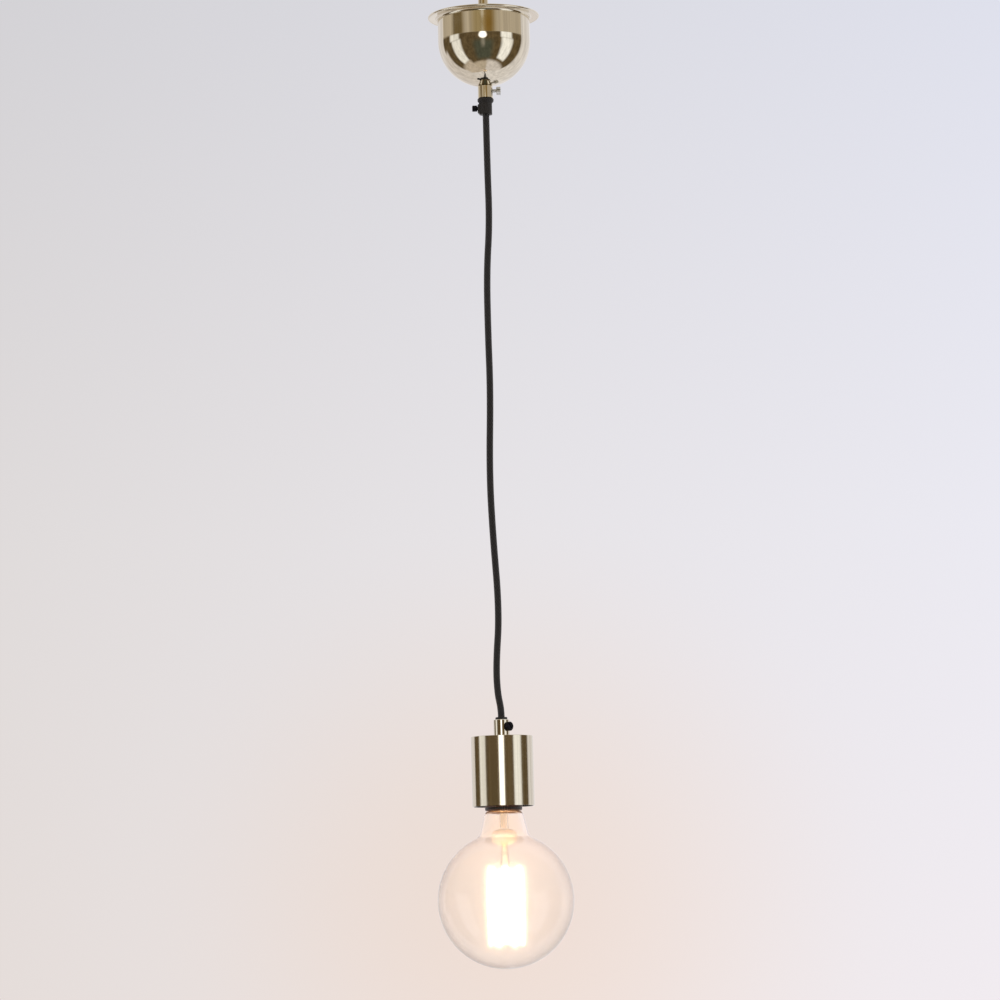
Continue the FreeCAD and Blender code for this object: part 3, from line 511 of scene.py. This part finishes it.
noiseSpan = (0.3, 0.7)        # nearly all of a noise lies between these
metalSet = {"patchDetail": 5.0, "patchRough": 0.6, "fineTimes": 4, "fineDetail": 2.0, "fineBite": 0.3,
            "swellDetail": 0.5}


# a bare metal: its roughness wanders by wear over patches of scaleMm; a fine relief of bumpMm follows stretch
def metal(name, colour, rough, wear, scaleMm, bumpMm=0.0, stretch=(1, 1, 1), ridges=None, ripple=None):
    s = metalSet
    mat, tree = newMaterial(name)
    place = addNode(tree, "ShaderNodeTexCoord").outputs["Object"]
    lay = addNode(tree, "ShaderNodeMapping", {"Vector": place, "Scale": stretch})
    patch = addNode(tree, "ShaderNodeTexNoise", {
        "Vector": lay, "Scale": 1000.0 / scaleMm, "Detail": s["patchDetail"], "Roughness": s["patchRough"]})
    worn = addNode(tree, "ShaderNodeMapRange", {
        0: patch, 1: noiseSpan[0], 2: noiseSpan[1], 3: rough - wear, 4: rough + wear})
    inputs = {"Base Color": linear(colour), "Metallic": 1.0, "Roughness": worn}
    if bumpMm:
        fine = addNode(tree, "ShaderNodeTexNoise", {
            "Vector": lay, "Scale": s["fineTimes"] * 1000.0 / scaleMm, "Detail": s["fineDetail"]})
        inputs["Normal"] = addNode(tree, "ShaderNodeBump", {
            "Height": fine, "Strength": s["fineBite"], "Distance": bumpMm / 1000})
    if ripple:
        swell = addNode(tree, "ShaderNodeTexNoise", {
            "Vector": place, "Scale": 1000.0 / ripple["scaleMm"], "Detail": s["swellDetail"]})
        inputs["Normal"] = addNode(tree, "ShaderNodeBump", {
            "Height": swell, "Strength": 1.0, "Distance": ripple["reliefMm"] / 1000})
    if ridges:
        inputs["Normal"] = ridged(tree, place, ridges, inputs.get("Normal"))
    skin = addNode(tree, "ShaderNodeBsdfPrincipled", inputs)
    addNode(tree, "ShaderNodeOutputMaterial", {"Surface": skin})
    return mat


mouldSet = {"cloudScale": 120.0, "cloudDetail": 4.0, "grainDetail": 3.0, "darkShare": 0.82, "rub": 0.05,
            "grainBite": 0.5, "coatRough": 0.1}


# a moulded or pressed material: a fine even grain and a slight change of tone; a stripe where y passes "from"
def moulded(name, colour, rough, grainMm, reliefMm, specular=0.5, coat=0.0, ridges=None, stripe=None):
    s = mouldSet
    mat, tree = newMaterial(name)
    place = addNode(tree, "ShaderNodeTexCoord").outputs["Object"]
    grain = addNode(tree, "ShaderNodeTexNoise", {
        "Vector": place, "Scale": 1000.0 / grainMm, "Detail": s["grainDetail"]})
    cloud = addNode(tree, "ShaderNodeTexNoise", {
        "Vector": place, "Scale": s["cloudScale"], "Detail": s["cloudDetail"]})
    dark = tuple(v * s["darkShare"] for v in linear(colour)[:3]) + (1,)
    tone = addNode(tree, "ShaderNodeMix", {0: cloud, 6: dark, 7: linear(colour)}, data_type="RGBA")
    if stripe:
        parts = addNode(tree, "ShaderNodeSeparateXYZ", {0: place})
        side = addNode(tree, "ShaderNodeMath", {0: parts.outputs[1], 1: stripe["from"]},
                       operation="GREATER_THAN")
        tone = addNode(tree, "ShaderNodeMix", {0: side, 6: tone, 7: linear(stripe["colour"])},
                       data_type="RGBA")
    rub = addNode(tree, "ShaderNodeMapRange", {
        0: cloud, 1: noiseSpan[0], 2: noiseSpan[1], 3: rough - s["rub"], 4: rough + s["rub"]})
    normal = addNode(tree, "ShaderNodeBump", {
        "Height": grain, "Strength": s["grainBite"], "Distance": reliefMm / 1000})
    if ridges:
        normal = ridged(tree, place, ridges, normal)
    skin = addNode(tree, "ShaderNodeBsdfPrincipled", {
        "Base Color": tone, "Roughness": rub, "Normal": normal,
        "Specular IOR Level": specular, "Coat Weight": coat, "Coat Roughness": s["coatRough"]})
    addNode(tree, "ShaderNodeOutputMaterial", {"Surface": skin})
    return mat


glassSet = {"ior": 1.5, "rippleScale": 28.0, "rippleDetail": 1.0, "rippleBite": 0.25, "rippleHigh": 0.0006}
globeRadius = 0.0625
globeSet = {
    "centre": (0.0, 0.0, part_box("bulb_glass")[0][2] + globeRadius),
    "innerFrom": 0.0621,      # nearer to the centre than this is the inner wall
    "innerRough": 0.20,       # the inner wall's thin deposit, which spreads the filament's light
    "haze": 0.008,
    # painted glow: emission on the glass that stands for the filament's light its walls catch
    "glow": "FFB070", "glowLow": 0.016, "glowHigh": 0.035,    # what the walls catch of the filament's light
    "glowFrom": -0.850, "glowTo": -0.806,                     # heights between which it grows
}


# clear glass, blown or pressed; where inner is given, nearer to its centre than innerFrom a faint deposit
# spreads the filament's light, and the glass carries a painted warm glow, growing upwards, for the light its
# walls catch
def clearGlass(name, colour, haze, rough=0.0, inner=None):
    s = glassSet
    mat, tree = newMaterial(name)
    place = addNode(tree, "ShaderNodeTexCoord").outputs["Object"]
    ripple = addNode(tree, "ShaderNodeTexNoise", {
        "Vector": place, "Scale": s["rippleScale"], "Detail": s["rippleDetail"]})
    bump = addNode(tree, "ShaderNodeBump", {
        "Height": ripple, "Strength": s["rippleBite"], "Distance": s["rippleHigh"]})
    inputs = {"Base Color": linear(colour), "Roughness": rough, "IOR": s["ior"],
              "Transmission Weight": 1.0 - haze, "Normal": bump}
    if inner:
        away = addNode(tree, "ShaderNodeVectorMath", {0: place, 1: inner["centre"]}, operation="DISTANCE")
        within = addNode(tree, "ShaderNodeMath", {0: away, 1: inner["innerFrom"]}, operation="LESS_THAN")
        inputs["Roughness"] = addNode(tree, "ShaderNodeMath", {0: within, 1: inner["innerRough"]},
                                      operation="MULTIPLY")
        parts = addNode(tree, "ShaderNodeSeparateXYZ", {0: place})
        # painted glow: emission for the filament's light on the walls, stronger higher up
        inputs["Emission Color"] = linear(inner["glow"])
        inputs["Emission Strength"] = addNode(tree, "ShaderNodeMapRange", {
            0: parts.outputs[2], 1: inner["glowFrom"], 2: inner["glowTo"],
            3: inner["glowLow"], 4: inner["glowHigh"]})
    skin = addNode(tree, "ShaderNodeBsdfPrincipled", inputs)
    addNode(tree, "ShaderNodeOutputMaterial", {"Surface": skin})
    return mat


filamentSet = {"glow": "FFDDAA", "glowHot": "FFE9C4", "cold": "2A2420", "strength": 22.0,
               "patchScale": 150.0}


def litFilament(s):
    # Carbonised filament, lit: far brighter than anything round it, so its hairpins run into one white block
    mat, tree = newMaterial("carbonFilamentLit")
    place = addNode(tree, "ShaderNodeTexCoord").outputs["Object"]
    patch = addNode(tree, "ShaderNodeTexNoise", {"Vector": place, "Scale": s["patchScale"], "Detail": 2.0})
    heat = addNode(tree, "ShaderNodeMix", {0: patch, 6: linear(s["glow"]), 7: linear(s["glowHot"])},
                   data_type="RGBA")
    skin = addNode(tree, "ShaderNodeBsdfPrincipled", {
        "Base Color": linear(s["cold"]), "Roughness": 0.7, "Emission Color": heat,
        "Emission Strength": s["strength"]})
    addNode(tree, "ShaderNodeOutputMaterial", {"Surface": skin})
    return mat


screwLow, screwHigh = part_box("collar_screw")
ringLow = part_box("holder_skirt")[0]
nickelTint = "D9D1BF"
spinRipple = {"scaleMm": 22, "reliefMm": 0.16}
acrossGrain = (0.2, 0.2, 3)           # fine lines that run round a turned piece
knurl = {"axis": 0, "centre": (0.0, 0.0, (screwLow[2] + screwHigh[2]) / 2), "count": 28, "reliefMm": 0.12}
fineThread = {"axis": 2, "centre": (0.0, 0.0, 0.0), "count": 1, "pitchMm": 1.0, "reliefMm": 0.25}
ringRibs = {"axis": 2, "centre": (0.0, 0.0, ringLow[2]), "count": 48, "below": 0.0038, "reliefMm": 0.25}
earthStripe = {"from": 0.00035, "colour": "E0C22C"}

# Nickel plate on spun steel, buffed to a mirror: warm champagne tint, crisp reflections with a slow ripple
nickelMirror = metal("nickelPlateBuffed", nickelTint, 0.045, 0.02, 14, ripple=spinRipple)
# Nickel plate on drawn tube, turned then lightly buffed: reflections soften a little
nickelSatin = metal("nickelPlateTurned", nickelTint, 0.115, 0.03, 6, 0.01, acrossGrain)
# Bright chrome on a turned screw: cold and clear, with a knurl that breaks its glint
chrome = metal("chromePlateBright", "DEE0E2", 0.06, 0.02, 4, ridges=knurl)
# Zinc plate: a dull blue-grey shine; on the tubes, a rolled thread rings it with fine lines
zinc = metal("zincPlateOnSteel", "BFC0BE", 0.32, 0.08, 3, 0.02)
zincThread = metal("zincPlateThreaded", "BFC0BE", 0.30, 0.06, 3, ridges=fineThread)
# Brass, bare from the lathe: yellow, with faint turning lines
brassTurned = metal("brassTurned", "D9BE85", 0.22, 0.06, 3, 0.02, (0.3, 0.3, 3))
# Nickel on rolled brass sheet, as bulb caps have: a greyer, softer shine
brassNickel = metal("nickelPlateOnBrassRolled", "CFC7B4", 0.24, 0.05, 3, 0.01)
# Tin solder, set in a drop: dull and a little lumpy
solderTin = metal("solderTin", "B9BABC", 0.38, 0.08, 2, 0.05)
# Black oxide on steel screws: near black, with a weak metal shine on the edges
blackOxide = metal("blackOxideSteel", "24242A", 0.42, 0.08, 2, 0.02)
# Nylon, moulded: soft black with a fine even grain
nylonBlack = moulded("nylonMouldedBlack", "191717", 0.5, 0.35, 0.03, 0.45)
# Phenolic resin, hot pressed: harder and glossier; the ring's is browner, a painted warm tint for the bulb's
# light on it, and its ribs catch the light
phenolicBlack = moulded("phenolicPressedBlack", "161617", 0.32, 0.5, 0.02, 0.5)
# painted light: the ring's brown tone stands for the bulb's warm light on it
phenolicRibbedPaintedWarm = moulded("phenolicPressedRibbedPaintedWarm", "2E2117", 0.32, 0.5, 0.02, 0.5, ridges=ringRibs)
# Polyamide, moulded: milky white, smooth
polyWhite = moulded("polyamideMouldedWhite", "E4E3DC", 0.35, 0.4, 0.02)
# Steatite, pressed, fired and glazed: warm white under a clear gloss
steatite = moulded("steatiteGlazed", "E8E4D8", 0.25, 0.8, 0.02, 0.5, 0.4)
# Extruded vinyl: even colour, a slight gloss; the earth core is green with a yellow side
sheathBrown = moulded("vinylSheathBrown", "5A3220", 0.35, 0.6, 0.01)
sheathBlue = moulded("vinylSheathBlue", "2C5FA8", 0.35, 0.6, 0.01)
sheathEarth = moulded("vinylSheathEarth", "3F8A3A", 0.35, 0.6, 0.01, stripe=earthStripe)
# The same braid as the free cord, where it is held out of sight: matt black
fabricHeld = moulded("braidedYarnHeld", "151212", 0.82, 0.7, 0.1, 0.2)
# Soda-lime glass, blown: clear, a hair warm, with a slow ripple and a painted glow of the filament's light
glassBlown = clearGlass("sodaLimeGlassBlown", "FFFDF9", globeSet["haze"], inner=globeSet)
# Lead glass, pressed round the wires: a little cloudy, so that it glows near the filament
glassLead = clearGlass("leadGlassPressed", "FFFBF2", 0.10, 0.02)
# Black glass, fused into the cap's end: deep and glossy
glassBlack = moulded("vitriteBlack", "101013", 0.15, 1.2, 0.01, 0.6)
filamentLit = litFilament(filamentSet)

dress(nickelMirror, "hanging_eye", "ceiling_cup", "cup_collar", "lower_grip_sleeve")
dress(nickelSatin, "lamp_cup")
dress(chrome, "collar_screw")
dress(zincThread, "carrier_tube", "nipple")
dress(zinc, "terminal_screws", "cup_washer", "cup_nut", "hook_wires", "lead_wires")
dress(brassTurned, "holder_screws", "thread_shell", "centre_contact", "side_contact")
dress(brassNickel, "bulb_cap")
dress(solderTin, "bulb_tip")
dress(blackOxide, "upper_grip_screw", "lower_grip_screw")
dress(nylonBlack, "upper_grip_body", "lower_grip_insert")
dress(phenolicBlack, "holder_dome")
dress(phenolicRibbedPaintedWarm, "holder_skirt")
dress(polyWhite, "terminal_block")
dress(steatite, "contact_carrier")
dress(sheathBrown, "core_live_upper", "core_live_lower")
dress(sheathBlue, "core_neutral_upper", "core_neutral_lower")
dress(sheathEarth, "core_earth_upper")
dress(fabricHeld, "cord_upper", "cord_lower", "cord")
dress(glassBlown, "bulb_glass")
dress(glassLead, "glass_stem")
dress(glassBlack, "bulb_insulator")
dress(filamentLit, "filament")
print("materials assigned")


threadSet = {
    "pitch": 0.0036286,       # seven threads to the inch, right-handed
    "depth": 0.0011,
    "run": 0.0015,            # length over which the thread runs out
    "rows": 170, "sides": 96,
    "capPlain": 0.002,        # plain stretch at the cap's edge
    "capWall": 0.0004,
    "shoulderRun": 0.0012,    # length over which the cap narrows to its shoulder
    "coneHigh": 0.004, "coneRadius": 0.0094, "coneInner": 0.0086,     # from the shoulder to the cap's end
    "innerSkip": 3,           # rows left out below the shoulder, where the inner wall turns
    "shellPlain": 0.0047,     # plain stretches at the shell's lower and upper ends
    "shellTop": 0.004,
    "shellWall": 0.00085,
}


# 0 below low, 1 above high, smooth between: the part squared, times 3 less twice the part
def easeUp(value, low, high):
    part = np.clip((value - low) / (high - low), 0, 1)
    return part * part * (3 - 2 * part)


# radius less depth times the larger of fade times (1 - wave) and root; the wave runs from 0 to 1, and it is 1
# on a line that climbs one pitch in a turn
def rolledRadius(s, radius, height, turn, fade, root=0.0):
    wave = 0.5 + 0.5 * np.cos(2 * math.pi * height / s["pitch"] - turn)
    return radius - s["depth"] * np.maximum(fade * (1 - wave), root)


# outside up to the shoulder, over the cone, and back down the inner wall
def makeCap(s, turn):
    low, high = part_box("bulb_cap")
    shoulder = high[2] - s["coneHigh"]
    threadFrom = low[2] + s["capPlain"]
    up = np.linspace(low[2], shoulder, s["rows"])
    fade = easeUp(up, threadFrom, threadFrom + s["run"])[:, None]
    root = easeUp(up, shoulder - s["shoulderRun"], shoulder)[:, None]
    outside = rolledRadius(s, high[0], up[:, None], turn, fade, root)
    inside = outside[::-1] - s["capWall"]
    innerTop = shoulder - s["capWall"]
    innerUp = np.minimum(up[::-1], innerTop)
    rim = np.array([[s["coneRadius"]], [s["coneInner"]], [high[0] - s["depth"] - s["capWall"]]])
    skin = np.concatenate([
        turnedGrid(outside, up, turn),
        turnedGrid(rim, np.array([high[2], high[2], innerTop]), turn),
        turnedGrid(inside[s["innerSkip"]:], innerUp[s["innerSkip"]:], turn),
        turnedGrid(outside[:1], up[:1], turn)])
    piece = gridPiece("bulbCapRolled", skin, brassNickel, body="bulb")
    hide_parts("bulb_cap")


# up the inner wall, whose thread is in step with the cap's, and down the outer
def makeShell(s, turn):
    low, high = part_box("thread_shell")
    threadFrom = low[2] + s["shellPlain"]
    threadTo = high[2] - s["shellTop"]
    up = np.linspace(low[2], high[2], s["rows"])
    fade = easeUp(up, threadFrom, threadFrom + s["run"]) * (1 - easeUp(up, threadTo - s["run"], threadTo))
    inside = rolledRadius(s, high[0] - s["shellWall"], up[:, None], turn, fade[:, None])
    skin = np.concatenate([
        turnedGrid(inside, up, turn),
        turnedGrid(inside[::-1] + s["shellWall"], up[::-1], turn),
        turnedGrid(inside[:1], up[:1], turn)])
    piece = gridPiece("threadShellRolled", skin, brassTurned, body="lamp")
    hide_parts("thread_shell")


threadTurn = np.linspace(0, 2 * math.pi, threadSet["sides"], endpoint=False)
makeCap(threadSet, threadTurn)
makeShell(threadSet, threadTurn)
print("threads rolled")

bpy.context.scene.view_settings.view_transform = "Standard"
